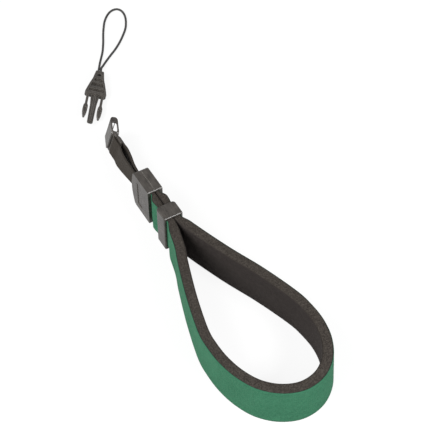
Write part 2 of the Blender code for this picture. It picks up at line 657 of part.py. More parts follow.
def webbing_line():
    """Middle line and width direction of the webbing, from one end round the bar and back."""
    frame = bar_frame()
    lean_up = (frame.to_3x3() @ Vector((0, 0, 1))).normalized()
    upright = Vector((0, 0, 1))
    turn_radius = BAR_THICKNESS / 2 + FIT_CLEARANCE + WEB_THICKNESS / 2
    turn_centre = BAR_FRONT - WEB_TURN_INSET

    def half_way(side, way):
        """One layer from its end in the clamp to where its turn round the bar begins."""
        in_clamp = (WEB_END, (WEB_END + WEB_EXIT) / 2, WEB_EXIT)
        stops = [(Vector((side * WEB_LAYER, y, MID_HEIGHT)), 0.0) for y in in_clamp]
        leaves = stops[-1][0]
        meets = frame @ Vector((side * turn_radius, BAR_REAR - WEB_THICKNESS, 0.0))
        for share, sideways, upwards, lean in way:
            stops.append((leaves.lerp(meets, share) + Vector((sideways, 0.0, upwards)) * MM, lean))
        stops.append((meets, 1.0))
        for before in WEB_TURN_LEAD:
            stops.append((frame @ Vector((side * turn_radius, turn_centre - before, 0.0)), 1.0))
        return stops

    turn = []
    for i in range(1, WEB_TURN_STEPS):
        angle = math.pi * (1 - i / WEB_TURN_STEPS)
        spot = Vector((turn_radius * math.cos(angle), turn_centre + turn_radius * math.sin(angle), 0.0))
        turn.append((frame @ spot, 1.0))
    stops = half_way(-1, WEB_NEAR_WAY) + turn + half_way(1, WEB_FAR_WAY)[::-1]
    line = smooth_curve([point for point, _ in stops], WEB_CURVE_STEPS)
    leans = smooth_curve([Vector((lean, 0.0, 0.0)) for _, lean in stops], WEB_CURVE_STEPS)
    rows = []
    for i, point in enumerate(line):
        before = line[max(i - 1, 0)]
        after = line[min(i + 1, len(line) - 1)]
        along = (after - before).normalized()
        share = min(max(leans[i].x, 0.0), 1.0)
        width_way = upright.lerp(lean_up, share)
        width_way = (width_way - along * along.dot(width_way)).normalized()
        rows.append((point, width_way, along.cross(width_way).normalized()))
    return rows


def build_webbing(root, material):
    half_width = WEB_WIDTH / 2
    half_thick = WEB_THICKNESS / 2
    sections = []
    for point, up, out in webbing_line():
        sections.append([
            point - out * half_thick - up * half_width,
            point + out * half_thick - up * half_width,
            point + out * half_thick + up * half_width,
            point - out * half_thick + up * half_width,
        ])
    webbing = add_object("webbing", strip("webbing", sections), material, root)
    for i, place in enumerate(peg_places(WEB_PEG_Y, WEB_PEG_SPREAD)):
        hole = cylinder("hole", PEG_HOLE_RADIUS, -CLAMP_HALF, CLAMP_HALF, place, "X", PEG_SIDES)
        add_boolean(webbing, hole, "DIFFERENCE", f"peg_hole_{i}")
    shade(webbing)


def mirrored(points):
    """Close a right-hand outline with its mirror image."""
    return list(points) + [(-x, y) for x, y in reversed(points)]


def plug_half_width(share):
    """Half the body's width at a share of its length from the base."""
    nose = PLUG_NOSE_WIDTH / 2
    base = PLUG_WIDTH / 2
    for (start, wide), (end, narrow) in zip(PLUG_SIDE, PLUG_SIDE[1:]):
        if share <= end:
            part_way = wide + (narrow - wide) * (share - start) / (end - start)
            return nose + (base - nose) * part_way
    return nose


def plug_body_outline():
    """Right half of the plug's body from the base to the nose."""
    base = PLUG_BASE_CORNER
    nose = PLUG_NOSE_CORNER
    points = arc((PLUG_WIDTH / 2 - base, base), base, -90, 0, 4)
    points += [(plug_half_width(share), share * PLUG_LENGTH) for share, _ in PLUG_SIDE[1:-1]]
    points += arc((PLUG_NOSE_WIDTH / 2 - nose, PLUG_LENGTH - nose), nose, 0, 90, 3)
    return points


def leaf_side(size):
    """Right side of a prong's catch, or of the smaller field sunk in its middle."""
    middle = LEAF_LENGTH / 2 - PRONG_LENGTH
    points = []
    for share, wide in LEAF_SIDE:
        points.append((LEAF_WIDTH / 2 * wide * size, middle + LEAF_LENGTH * (0.5 - share) * size))
    return points


def prong_outline():
    """Stem and leaf-shaped catch of a prong."""
    stem = PRONG_STEM_WIDTH / 2
    right = [(stem, PRONG_ROOT), (stem, LEAF_LENGTH - PRONG_LENGTH), *leaf_side(1.0)]
    right.append((LEAF_TIP_WIDTH / 2, -PRONG_LENGTH))
    return mirrored(right)


def build_plug(root, material):
    """Buckle plug: body with a window for the cord's knot, tongue and two springy prongs."""
    half_thick = PLUG_THICKNESS / 2
    roll = math.radians(PLUG_ROLL)
    rest_height = PLUG_WIDTH / 2 * math.sin(roll) + half_thick * math.cos(roll)
    frame = add_empty("plug_frame", root)
    heading = Matrix.Rotation(math.radians(-PLUG_HEADING), 4, "Z")
    place = Matrix.Translation((PLUG_PLACE[0], PLUG_PLACE[1], rest_height))
    frame.matrix_local = place @ heading @ Matrix.Rotation(roll, 4, "Y")

    outline = mirrored(plug_body_outline())
    plug = add_object("plug", prism("plug", outline, -half_thick, half_thick, "Z"), material, frame)
    add_bevel(plug, PLUG_EDGE, 2)

    thin = TONGUE_THICKNESS / 2
    tip = -TONGUE_LENGTH
    tongue = mirrored([
        (TONGUE_BASE_WIDTH / 2, PRONG_ROOT), (TONGUE_BASE_WIDTH / 2, 0.0),
        (TONGUE_WAIST_WIDTH / 2, -TONGUE_WAIST), (TONGUE_TIP_WIDTH / 2, tip + TONGUE_TIP_CORNER),
        (TONGUE_TIP_WIDTH / 2 - TONGUE_TIP_CORNER, tip),
    ])
    add_boolean(plug, prism("tongue", tongue, -thin, thin, "Z"), "UNION", "tongue")
    ridge_half = TONGUE_RIDGE_WIDTH / 2
    ridge_top = thin + TONGUE_RIDGE_HEIGHT
    ridge_end = tip + TONGUE_RIDGE_WIDTH
    ridge = box("ridge", (-ridge_half, ridge_end, -ridge_top), (ridge_half, PRONG_ROOT, ridge_top))
    add_boolean(plug, ridge, "UNION", "tongue_ridge")
    leaf_half = PRONG_THICKNESS / 2
    for label, side in (("prong_left", -1), ("prong_right", 1)):
        prong = [(side * PRONG_OFFSET + x, y) for x, y in prong_outline()]
        add_boolean(plug, prism(label, prong, -leaf_half, leaf_half, "Z"), "UNION", label)

    fields = []
    for ends in PLUG_FIELDS:
        corners = [(plug_half_width(share) - PLUG_RIM, share * PLUG_LENGTH) for share in ends]
        fields.append((mirrored(corners), half_thick - PLUG_FIELD_DEPTH))
    for side in (-1, 1):
        leaf_field = [(side * PRONG_OFFSET + x, y) for x, y in mirrored(leaf_side(LEAF_FIELD_SHARE))]
        fields.append((leaf_field, leaf_half - LEAF_FIELD_DEPTH))
    for label, side in (("top", 1), ("under", -1)):
        out = side * PLUG_THICKNESS
        for i, (corners, level) in enumerate(fields):
            sunk = prism("field", corners, min(side * level, out), max(side * level, out), "Z")
            add_boolean(plug, sunk, "DIFFERENCE", f"field_{label}_{i}")

    deep = PLUG_THICKNESS
    window = cylinder("window", WINDOW_RADIUS, -deep, deep, (0.0, KNOT_Y), "Z", WINDOW_SIDES)
    add_boolean(plug, window, "DIFFERENCE", "window")
    channel_half = CORD_DIAMETER + CORD_SPREAD + FIT_CLEARANCE
    channel_high = CORD_DIAMETER / 2 + FIT_CLEARANCE
    channel = box("channel", (-channel_half, KNOT_Y, -channel_high),
                  (channel_half, PLUG_LENGTH * 2, channel_high))
    add_boolean(plug, channel, "DIFFERENCE", "cord_channel")
    shade(plug)
    return frame


def build_knot(frame, material):
    """The two cord ends tied together inside the plug's window."""
    bm = bmesh.new()
    bmesh.ops.create_uvsphere(bm, u_segments=14, v_segments=8, radius=KNOT_RADIUS)
    bmesh.ops.scale(bm, verts=bm.verts, vec=Vector((1.0, 0.9, 0.95)))
    knot = add_object("cord_knot", finish_mesh("cord_knot", bm), material, frame)
    knot.location = (0.0, KNOT_Y, 0.0)
    shade(knot)


def build_cord(root, material):
    """The cord as a plain tube along a smooth curve through its own points."""
    route = smooth_curve([Vector(point) * MM for point in CORD_POINTS_MM], CORD_CURVE_STEPS)
    length = sum((b - a).length for a, b in zip(route, route[1:]))
    points = resample(route, round(length / CORD_STEP) + 1)
    curve = bpy.data.curves.new("cord_loop", "CURVE")
    curve.dimensions = "3D"
    curve.bevel_depth = CORD_DIAMETER / 2
    curve.bevel_resolution = 2
    curve.use_fill_caps = True
    spline = curve.splines.new("POLY")
    spline.points.add(len(points) - 1)
    for target, point in zip(spline.points, points):
        target.co = (*point, 1.0)
    curve.materials.append(material)
    cord = bpy.data.objects.new("cord_loop", curve)
    bpy.context.scene.collection.objects.link(cord)
    cord.parent = root


def set_origin(root):
    """Shift everything so that the footprint's middle, without the cord, is the origin."""
    bpy.context.view_layer.update()
    graph = bpy.context.evaluated_depsgraph_get()
    low = Vector((math.inf, math.inf))
    high = Vector((-math.inf, -math.inf))
    for piece in bpy.context.scene.objects:
        if piece.type != "MESH" or piece.hide_render or piece.name.startswith("cord"):
            continue
        shaped = piece.evaluated_get(graph)
        for vertex in shaped.data.vertices:
            spot = shaped.matrix_world @ vertex.co
            low = Vector((min(low.x, spot.x), min(low.y, spot.y)))
            high = Vector((max(high.x, spot.x), max(high.y, spot.y)))
    middle = (low + high) / 2
    root.location = (-middle.x, -middle.y, 0.0)
    bpy.context.view_layer.update()


def main():
    clear_scene()
    foam = make_material("foam", (0.055, 0.052, 0.048), 0.95)
    facing = make_material("green_knit", (0.035, 0.150, 0.085), 0.90)
    lining = make_material("black_knit", (0.030, 0.027, 0.026), 0.92)
    plastic = make_material("black_plastic", (0.040, 0.040, 0.040), 0.42)
    web = make_material("black_webbing", (0.035, 0.030, 0.027), 0.85)
    cord = make_material("black_cord", (0.022, 0.022, 0.024), 0.75)
    root = add_empty("strap_origin")
    build_band(root, foam, facing, lining)
    build_clamp(root, plastic)
    build_slider(root, plastic)
    build_socket(root, plastic)
    build_webbing(root, web)
    plug_frame = build_plug(root, plastic)
    build_knot(plug_frame, cord)
    build_cord(root, cord)
    set_origin(root)


main()
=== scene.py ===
"""Looks of the camera wrist strap: soft pieces, cord, materials, floor, light and camera.

Lengths are metres. The strap's own plan has the clamp at zero, the wrist loop towards -Y
and the buckle towards +Y. ZERO is where that point lies in the CAD model's frame.
"""

import json
import math

import bmesh
import bpy
import numpy as np
from mathutils import Euler, Matrix, Vector, noise


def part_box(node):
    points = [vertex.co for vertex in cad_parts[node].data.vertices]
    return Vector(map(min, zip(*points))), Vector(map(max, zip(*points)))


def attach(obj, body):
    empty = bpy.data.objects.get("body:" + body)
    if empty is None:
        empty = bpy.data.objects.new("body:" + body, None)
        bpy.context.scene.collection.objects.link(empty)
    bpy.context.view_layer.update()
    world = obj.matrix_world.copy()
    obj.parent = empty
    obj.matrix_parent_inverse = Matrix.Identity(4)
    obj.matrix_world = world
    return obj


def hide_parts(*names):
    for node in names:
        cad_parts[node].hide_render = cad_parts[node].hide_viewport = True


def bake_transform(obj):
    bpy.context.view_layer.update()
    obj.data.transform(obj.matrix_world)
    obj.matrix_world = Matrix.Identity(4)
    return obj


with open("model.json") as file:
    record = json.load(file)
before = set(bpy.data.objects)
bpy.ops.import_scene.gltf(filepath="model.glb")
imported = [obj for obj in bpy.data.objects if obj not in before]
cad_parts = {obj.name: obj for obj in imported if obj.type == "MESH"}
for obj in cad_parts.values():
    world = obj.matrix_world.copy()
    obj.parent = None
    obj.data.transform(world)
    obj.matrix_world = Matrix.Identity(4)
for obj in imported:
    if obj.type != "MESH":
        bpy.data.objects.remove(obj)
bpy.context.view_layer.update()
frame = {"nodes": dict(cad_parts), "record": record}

MM = 0.001

# Band, the same sizes as its solids
BAND_WIDTH = 25.0 * MM
BAND_THICKNESS = 6.1 * MM
SEAM_GAP = 0.3 * MM
BAND_IN_CLAMP = 2.6 * MM
BAND_IN_NECK = 4.8 * MM
BAND_IN_SLIDER = 4.3 * MM
NECK_SWELL = 5.5 * MM
BAND_EDGE_SQUEEZE = 0.6 * MM
SWELL_LENGTH = 9.0 * MM
LOOP_LENGTH = 127.0 * MM
LOOP_WIDTH = 55.3 * MM
LOOP_FLARE = 1.9 * MM
LOOP_FLARE_ONSET = 1.6
LOOP_LEAD_LENGTH = 2.0 * MM
LOOP_LEAD_SPREAD = 0.1 * MM
LOOP_SHAPE = (
    (-0.083, 0.076), (-0.132, 0.160), (-0.201, 0.242), (-0.322, 0.408), (-0.418, 0.577),
    (-0.432, 0.664), (-0.416, 0.750), (-0.363, 0.835), (-0.269, 0.911), (-0.121, 0.969),
    (0.065, 0.999), (0.260, 0.987), (0.421, 0.936), (0.523, 0.861), (0.568, 0.777),
    (0.564, 0.690), (0.528, 0.604), (0.401, 0.439), (0.248, 0.278), (0.112, 0.114),
)

# Layers of the band as they show: the skins are thinner than their solids, the foam fills the rest
SKIN = 0.42 * MM
SKIN_GAP = 0.04 * MM
SKIN_INSET = 0.06 * MM
SKIN_ROUND = 0.32 * MM
SKIN_ROUND_SINK = 0.75
SKIN_EDGE_CROWDING = 0.35
FOAM_ROUND = 0.25 * MM
FOAM_ROUND_SINK = 0.6

# How finely the band is built: along it, in its bends, and round one row of a layer
BAND_STEP = 0.42 * MM
BAND_BEND_REACH = 1.5 * MM
CURVE_STEPS = 24
RIM_POINTS = 15
FOAM_SIDE_POINTS = 4
SKIN_POINTS = 26
SKIN_BACK_POINTS = 4

# Grain in the soft surfaces: how high it stands, how wide it is, and how it is mixed
FOAM_PIT = 0.16 * MM
FOAM_CELL = 0.75 * MM
FOAM_COARSE_SHARE = 0.55
FOAM_FINE_SHARE = 0.45
FOAM_FINE_RATIO = 2.3
FOAM_FINE_SHIFT = (7.1, 3.3, 1.7)
FABRIC_WAVE = 0.07 * MM
FABRIC_WAVE_SIZE = 7.0 * MM
FABRIC_SIDE_SHIFT = 31.0 * MM
FABRIC_FINE_SHARE = 0.5
FABRIC_FINE_RATIO = 2.7

# Hard pieces
FIT_CLEARANCE = 0.3 * MM
END_WALL = 1.05 * MM
CLAMP_LENGTH = 16.5 * MM
CLAMP_REAR_BULGE = 4.4 * MM
BAND_TAIL = 9.4 * MM
SLIDER_LENGTH = 10.3 * MM
SLIDER_GAP = 11.4 * MM
PEG_HOLE_RADIUS = 1.3 * MM
PEG_HOLE_SIDES = 20
PEG_REACH = 12.0 * MM
WELD_REACH = 0.004 * MM
BAND_PEG_SPREAD = 12.0 * MM
WEB_PEG_SPREAD = 7.0 * MM
BAND_PEG_INSET = 4.6 * MM
WEB_PEG_INSET = 4.4 * MM

# Webbing. Each layer's way from the clamp to the bar is told by stops with four values: the share
# of the way, how far the stop lies to the right and above it in millimetres, and the share of lean
WEB_WIDTH = 12.7 * MM
WEB_THICKNESS = 1.3 * MM
WEB_END_GAP = 0.6 * MM
WEB_TURN_LEAD = (3.0 * MM, 1.0 * MM, 0.0 * MM)
WEB_NEAR_WAY = ((0.30, -0.84, 0.60, 0.16), (0.58, -1.12, 0.62, 0.46), (0.82, -0.80, 0.32, 0.82))
WEB_FAR_WAY = ((0.30, -0.15, 0.45, 0.14), (0.58, 0.50, 0.42, 0.38), (0.82, 0.62, 0.10, 0.72))
WEB_TURN_STEPS = 6
WEB_STEP = 0.26 * MM
WEB_BEND_REACH = 0.6 * MM
WEB_FACE_POINTS = 58
WEB_EDGE = 0.45 * MM
WEB_EDGE_SHARE = 0.30
WEB_RIB = 0.95 * MM
WEB_YARN = 0.62 * MM
WEB_YARN_FULLNESS = 0.6
WEB_YARN_UNDER = 0.35
WEB_RELIEF = 0.085 * MM

# Socket's axes, which the webbing follows
SOCKET_WIDTH = 15.6 * MM
SOCKET_THICKNESS = 4.7 * MM
SOCKET_PLACE = (2.7 * MM, 52.1 * MM)
SOCKET_LIFT = 1.35 * MM
SOCKET_HEADING = 22.5
SOCKET_LEAN = 16.7
SOCKET_KINK = 24.0
BAR_THICKNESS = 1.6 * MM
BAR_LENGTH = 5.4 * MM

# Plug's axes, which the knot follows
PLUG_LENGTH = 21.2 * MM
PLUG_WIDTH = 13.6 * MM
PLUG_THICKNESS = 4.2 * MM
PLUG_PLACE = (13.2 * MM, 98.3 * MM)
PLUG_HEADING = 34.5
PLUG_ROLL = 14.0

# Cord and its knot
CORD_DIAMETER = 1.5 * MM
CORD_SIDES = 16
CORD_STEP = 0.24 * MM
CORD_CURVE_STEPS = 12
BRAID_PITCH = 1.5 * MM
BRAID_DEPTH = 0.07
BRAID_STRANDS = 4
KNOT_RADIUS = 1.2 * MM
KNOT_FROM_NOSE = 4.2 * MM
KNOT_STRAND_SHARE = 0.42
KNOT_SIDES = 12
KNOT_STEPS = 120
KNOT_SHARE_OF_ROUND = 0.97
KNOT_HEIGHT = 2.2
CORD_POINTS_MM = (
    (23.00, 113.94, 3.88), (24.17, 115.64, 3.88), (25.90, 118.80, 3.25), (28.10, 122.70, 1.75),
    (30.60, 126.80, 0.95), (34.20, 131.80, 0.80), (37.10, 136.00, 0.80), (41.20, 143.30, 0.80),
    (45.00, 150.90, 0.80), (48.30, 156.80, 0.80), (51.80, 162.20, 0.80), (56.40, 167.00, 0.80),
    (60.60, 169.30, 0.80), (64.20, 169.00, 0.80), (66.10, 166.30, 0.80), (66.30, 162.60, 0.80),
    (65.40, 158.40, 0.80), (63.30, 153.50, 0.80), (60.40, 148.60, 0.80), (56.20, 143.70, 0.80),
    (50.80, 138.30, 0.80), (44.90, 133.40, 0.80), (39.80, 129.90, 0.80), (34.90, 126.30, 0.90),
    (31.00, 122.90, 1.50), (28.40, 120.20, 2.45), (25.45, 114.76, 3.49), (24.28, 113.06, 3.49),
)

# Worked out from the sizes above
BAND_IN_SLIDER_WIDTH = BAND_WIDTH - 2 * BAND_EDGE_SQUEEZE
HARD_HEIGHT = BAND_IN_SLIDER_WIDTH + 2 * FIT_CLEARANCE + 2 * END_WALL
MID_HEIGHT = HARD_HEIGHT / 2
CLAMP_FRONT = -CLAMP_LENGTH / 2
CLAMP_REAR = CLAMP_LENGTH / 2
SLIDER_REAR = CLAMP_FRONT - SLIDER_GAP
SLIDER_FRONT = SLIDER_REAR - SLIDER_LENGTH
SLIDER_MIDDLE = (SLIDER_REAR + SLIDER_FRONT) / 2
BAND_END = CLAMP_FRONT + BAND_TAIL
WEB_END = BAND_END + WEB_END_GAP
WEB_LAYER = SEAM_GAP / 2 + WEB_THICKNESS / 2
WEB_EXIT = CLAMP_REAR + CLAMP_REAR_BULGE
WEB_SLOT = WEB_THICKNESS + 3 * FIT_CLEARANCE
WEB_TURN_INSET = 1.5 * FIT_CLEARANCE
BAR_FRONT = -(FIT_CLEARANCE + WEB_SLOT)
BAR_REAR = BAR_FRONT - BAR_LENGTH
BAND_PEG_Y = CLAMP_FRONT + BAND_PEG_INSET
WEB_PEG_Y = WEB_END + WEB_PEG_INSET
LEFT_LOW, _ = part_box("clamp_shell_left")
_, RIGHT_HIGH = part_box("clamp_shell_right")
ZERO = Vector(((LEFT_LOW.x + RIGHT_HIGH.x) / 2, LEFT_LOW.y - CLAMP_FRONT, 0.0))

# Camera: where it stands from the plan's zero, how it looks, and its lens
CAMERA_PLACE = Vector((-192.9, -409.7, 534.3)) * MM
CAMERA_TILT = 40.0
CAMERA_TURN = -30.0
CAMERA_LENS = 100.47
CAMERA_SENSOR = 36.0
CAMERA_SEES = (0.01, 20.0)

# Floor: how bright it glows and how much of the glow stands in for its lit surface
FLOOR_REACH = 3.0
FLOOR_COLOUR = 0.52
FLOOR_GLOW = 1.0
FLOOR_GLOW_FOR_CAMERA = 0.22
FLOOR_SHARE_FOR_CAMERA = 0.70
FLOOR_SHARE_FOR_REFLECTIONS = 0.60

# Studio: surroundings as they light the strap and as they are seen, then two area lights
DOME_STRENGTH = 0.42
SEEN_STRENGTH = 1.0
SOFTBOX = {"place": (-0.72, 0.0, 0.60), "size": (0.9, 0.7), "power": 10.5, "diffuse": 1.0}
EDGE_LIGHT = {"place": (0.25, -0.69, 0.53), "size": (0.30, 0.22), "power": 6.0, "diffuse": 0.0}
LIGHTS_AIM = (0.0, -0.04, 0.0)

# Each surface's darkest and lightest colour, and other tones that it takes
GREEN_YARN = ((0.013, 0.092, 0.048), (0.064, 0.226, 0.128))
GREEN_CUT = (0.022, 0.040, 0.030)
GREEN_SHEEN = (0.95, 0.95, 0.85)
BLACK_YARN = ((0.020, 0.0155, 0.0145), (0.048, 0.041, 0.0375))
BLACK_CUT = (0.036, 0.031, 0.027)
BLACK_SHEEN = (0.95, 0.88, 0.84)
FOAM_TONES = ((0.014, 0.0115, 0.0098), (0.066, 0.057, 0.049))
PLASTIC_TONES = ((0.026, 0.0225, 0.0195), (0.060, 0.0530, 0.0465))
# Lighter colour of the plastic's edges: partly wear, partly a painted highlight
PLASTIC_EDGE_WEAR_AND_HIGHLIGHT = (0.215, 0.200, 0.180)
WEBBING_TONES = ((0.013, 0.0105, 0.0085), (0.058, 0.049, 0.040))
WEBBING_SHEEN = (0.95, 0.88, 0.80)
CORD_TONES = ((0.012, 0.012, 0.012), (0.065, 0.063, 0.061))


def build_camera():
    data = bpy.data.cameras.new("camera")
    data.lens = CAMERA_LENS
    data.sensor_width = CAMERA_SENSOR
    data.clip_start, data.clip_end = CAMERA_SEES
    camera = bpy.data.objects.new("camera", data)
    camera.location = ZERO + CAMERA_PLACE
    camera.rotation_euler = Euler((math.radians(CAMERA_TILT), 0.0, math.radians(CAMERA_TURN)))
    bpy.context.scene.collection.objects.link(camera)
    bpy.context.scene.camera = camera


def build_floor():
    """A pale floor that shows white to the camera and in reflections, and keeps the shadow."""
    data = bpy.data.meshes.new("floor")
    sides = ((-1, -1), (1, -1), (1, 1), (-1, 1))
    corners = [(x * FLOOR_REACH, y * FLOOR_REACH, 0.0) for x, y in sides]
    data.from_pydata(corners, [], [(0, 1, 2, 3)])
    floor = bpy.data.objects.new("floor", data)
    bpy.context.scene.collection.objects.link(floor)
    nodes = Nodes("floor")
    output = nodes.tree.nodes["Material Output"]
    nodes.tree.nodes.remove(nodes.shader)
    diffuse = nodes.put("ShaderNodeBsdfDiffuse", {"Color": colour(FLOOR_COLOUR, FLOOR_COLOUR, FLOOR_COLOUR)})
    rays = nodes.put("ShaderNodeLightPath")
    seen = rays.outputs["Is Camera Ray"]
    mirrored = nodes.calc("MAXIMUM", rays.outputs["Is Glossy Ray"], rays.outputs["Is Transmission Ray"])
    mirrored_share = nodes.calc("MULTIPLY", mirrored, FLOOR_SHARE_FOR_REFLECTIONS)
    share = nodes.calc("MULTIPLY_ADD", seen, FLOOR_SHARE_FOR_CAMERA, mirrored_share)
    strength = nodes.calc("MULTIPLY_ADD", seen, FLOOR_GLOW_FOR_CAMERA, FLOOR_GLOW)
    glow = nodes.put("ShaderNodeEmission", {"Strength": strength})
    mix = nodes.put("ShaderNodeMixShader", {0: share, 1: diffuse.outputs[0], 2: glow.outputs[0]})
    nodes.tree.links.new(mix.outputs[0], output.inputs[0])
    data.materials.append(nodes.material)


def build_world():
    """Soft white surroundings, seen as plain white by the camera and in reflections."""
    world = bpy.data.worlds.new("studio")
    bpy.context.scene.world = world
    world.use_nodes = True
    tree = world.node_tree
    tree.nodes.clear()
    output = tree.nodes.new("ShaderNodeOutputWorld")
    dome = tree.nodes.new("ShaderNodeBackground")
    dome.inputs["Strength"].default_value = DOME_STRENGTH
    white = tree.nodes.new("ShaderNodeBackground")
    white.inputs["Strength"].default_value = SEEN_STRENGTH
    rays = tree.nodes.new("ShaderNodeLightPath")
    seen = tree.nodes.new("ShaderNodeMath")
    seen.operation = "MAXIMUM"
    tree.links.new(rays.outputs["Is Camera Ray"], seen.inputs[0])
    tree.links.new(rays.outputs["Is Glossy Ray"], seen.inputs[1])
    mix = tree.nodes.new("ShaderNodeMixShader")
    tree.links.new(seen.outputs[0], mix.inputs[0])
    tree.links.new(dome.outputs[0], mix.inputs[1])
    tree.links.new(white.outputs[0], mix.inputs[2])
    tree.links.new(mix.outputs[0], output.inputs[0])


def build_light(name, light):
    data = bpy.data.lights.new(name, "AREA")
    data.shape = "RECTANGLE"
    data.size, data.size_y = light["size"]
    data.energy = light["power"]
    data.diffuse_factor = light["diffuse"]
    lamp = bpy.data.objects.new(name, data)
    lamp.location = ZERO + Vector(light["place"])
    aim = ZERO + Vector(LIGHTS_AIM)
    lamp.rotation_euler = (aim - lamp.location).to_track_quat("-Z", "Y").to_euler()
    bpy.context.scene.collection.objects.link(lamp)


def ease(share):
    """Smooth step from 0 to 1."""
    share = min(max(share, 0.0), 1.0)
    return share * share * (3 - 2 * share)


def smooth_curve(points, steps):
    """Catmull-Rom curve through points, led straight in and out at its ends."""
    padded = [points[0] * 2 - points[1], *points, points[-1] * 2 - points[-2]]
    result = []
    for i in range(1, len(padded) - 2):
        p0, p1, p2, p3 = padded[i - 1:i + 3]
        for k in range(steps):
            t = k / steps
            result.append(
                0.5 * (2 * p1 + (p2 - p0) * t
                       + (2 * p0 - 5 * p1 + 4 * p2 - p3) * t * t
                       + (3 * p1 - 3 * p2 + p3 - p0) * t * t * t)
            )
    result.append(points[-1].copy())
    return result


def resample(points, count):
    """Points evenly spaced along a polyline, both ends kept."""
    lengths = [0.0]
    for a, b in zip(points, points[1:]):
        lengths.append(lengths[-1] + (b - a).length)
    result = []
    k = 0
    for i in range(count):
        want = lengths[-1] * i / (count - 1)
        while k < len(lengths) - 2 and lengths[k + 1] < want:
            k += 1
        span = lengths[k + 1] - lengths[k]
        result.append(points[k].lerp(points[k + 1], (want - lengths[k]) / span))
    return result


def held_thickness(y):
    """Thickness of one band layer between the clamp and the slider's front."""
    from_clamp = ease((CLAMP_FRONT - y) / NECK_SWELL)
    from_slider = ease((y - SLIDER_REAR) / NECK_SWELL)
    out_of_clamp = BAND_IN_CLAMP + (BAND_IN_NECK - BAND_IN_CLAMP) * from_clamp
    out_of_slider = BAND_IN_SLIDER + (BAND_IN_NECK - BAND_IN_SLIDER) * from_slider
    return min(out_of_clamp, out_of_slider)


def band_rows(step):
    """Rows along the whole band: distance, centre, outward way, thickness, low, high and flare."""
    held_low = END_WALL + FIT_CLEARANCE
    held_high = HARD_HEIGHT - held_low
    left = []
    count = round((BAND_END - SLIDER_FRONT) / step)
    for k in range(count):
        y = BAND_END + (SLIDER_FRONT - BAND_END) * k / count
        thickness = held_thickness(y)
        centre = Vector((-(SEAM_GAP + thickness) / 2, y))
        left.append((centre, Vector((-1, 0)), thickness, held_low, held_high, 0.0))

    layer = (SEAM_GAP + BAND_IN_SLIDER) / 2
    lead = SLIDER_FRONT - LOOP_LEAD_LENGTH
    shape = [Vector((-layer, SLIDER_FRONT)), Vector((-layer - LOOP_LEAD_SPREAD, lead))]
    for x_share, y_share in LOOP_SHAPE:
        shape.append(Vector((x_share * LOOP_WIDTH, SLIDER_FRONT - y_share * LOOP_LENGTH)))
    shape.append(Vector((layer + LOOP_LEAD_SPREAD, lead)))
    shape.append(Vector((layer, SLIDER_FRONT)))
    fine = smooth_curve(shape, CURVE_STEPS)
    length = sum((b - a).length for a, b in zip(fine, fine[1:]))
    line = resample(fine, round(length / step) + 1)

    loop = []
    reach = max(1, round(BAND_BEND_REACH / step))
    for i, centre in enumerate(line):
        before = line[max(i - reach, 0)]
        after = line[min(i + reach, len(line) - 1)]
        along = (after - before).normalized()
        outward = Vector((along.y, -along.x))
        end_share = ease(min(i, len(line) - 1 - i) / (2 * reach))
        plain = Vector((-1, 0)) if i < len(line) / 2 else Vector((1, 0))
        outward = plain.lerp(outward, end_share).normalized()
        share = i / (len(line) - 1)
        from_slider = min(share, 1 - share) * length
        free = ease(from_slider / SWELL_LENGTH)
        settled = ease(2 * min(share, 1 - share))
        thickness = BAND_IN_SLIDER + (BAND_THICKNESS - BAND_IN_SLIDER) * free
        width = BAND_IN_SLIDER_WIDTH + (BAND_WIDTH - BAND_IN_SLIDER_WIDTH) * free
        middle = MID_HEIGHT + (BAND_WIDTH / 2 - MID_HEIGHT) * settled
        flare = LOOP_FLARE * math.sin(math.pi * ease(share)) ** 2 * ease(share * LOOP_FLARE_ONSET)
        loop.append((centre, outward, thickness, middle - width / 2, middle + width / 2, flare))

    right = []
    for centre, outward, thickness, low, high, flare in reversed(left):
        right.append((Vector((-centre.x, centre.y)), -outward, thickness, low, high, flare))
    rows = left + loop + right
    result = []
    distance = 0.0
    for i, row in enumerate(rows):
        if i:
            distance += (row[0] - rows[i - 1][0]).length
        result.append((distance, *row))
    return result


def split_rows(rows):
    """The band's rows from the clamp to the slider's middle, round the loop, and back."""
    past = [row[1].y - SLIDER_MIDDLE for row in rows]
    crossing = [i for i in range(1, len(rows)) if past[i] * past[i - 1] <= 0]
    first, last = crossing[0], crossing[-1]
    return rows[:first + 1], rows[first:last], rows[last - 1:]


def foam_relief(x, y, z):
    """Depth of the open cells at a point of the foam's cut rim, from 0 to 1."""
    spot = Vector((x, y, z)) / FOAM_CELL
    coarse = noise.noise(spot)
    fine = noise.noise(spot * FOAM_FINE_RATIO + Vector(FOAM_FINE_SHIFT))
    return 0.5 + FOAM_COARSE_SHARE * coarse + FOAM_FINE_SHARE * fine


def mesh_piece(name, vertices, faces, uvw, material):
    """A mesh object whose weave attribute gives the distance along, across and through."""
    data = bpy.data.meshes.new(name)
    data.vertices.add(len(vertices))
    data.vertices.foreach_set("co", np.asarray(vertices, dtype=np.float32).ravel())
    faces = np.asarray(faces, dtype=np.int32)
    sides = faces.shape[1]
    data.loops.add(faces.size)
    data.loops.foreach_set("vertex_index", faces.ravel())
    data.polygons.add(len(faces))
    data.polygons.foreach_set("loop_start", np.arange(0, faces.size, sides, dtype=np.int32))
    data.update(calc_edges=True)
    weave = data.attributes.new("weave", "FLOAT_VECTOR", "POINT")
    weave.data.foreach_set("vector", np.asarray(uvw, dtype=np.float32).ravel())
    data.materials.append(material)
    data.polygons.foreach_set("use_smooth", np.ones(len(faces), dtype=bool))
    data.validate()
    piece = bpy.data.objects.new(name, data)
    bpy.context.scene.collection.objects.link(piece)
    return piece


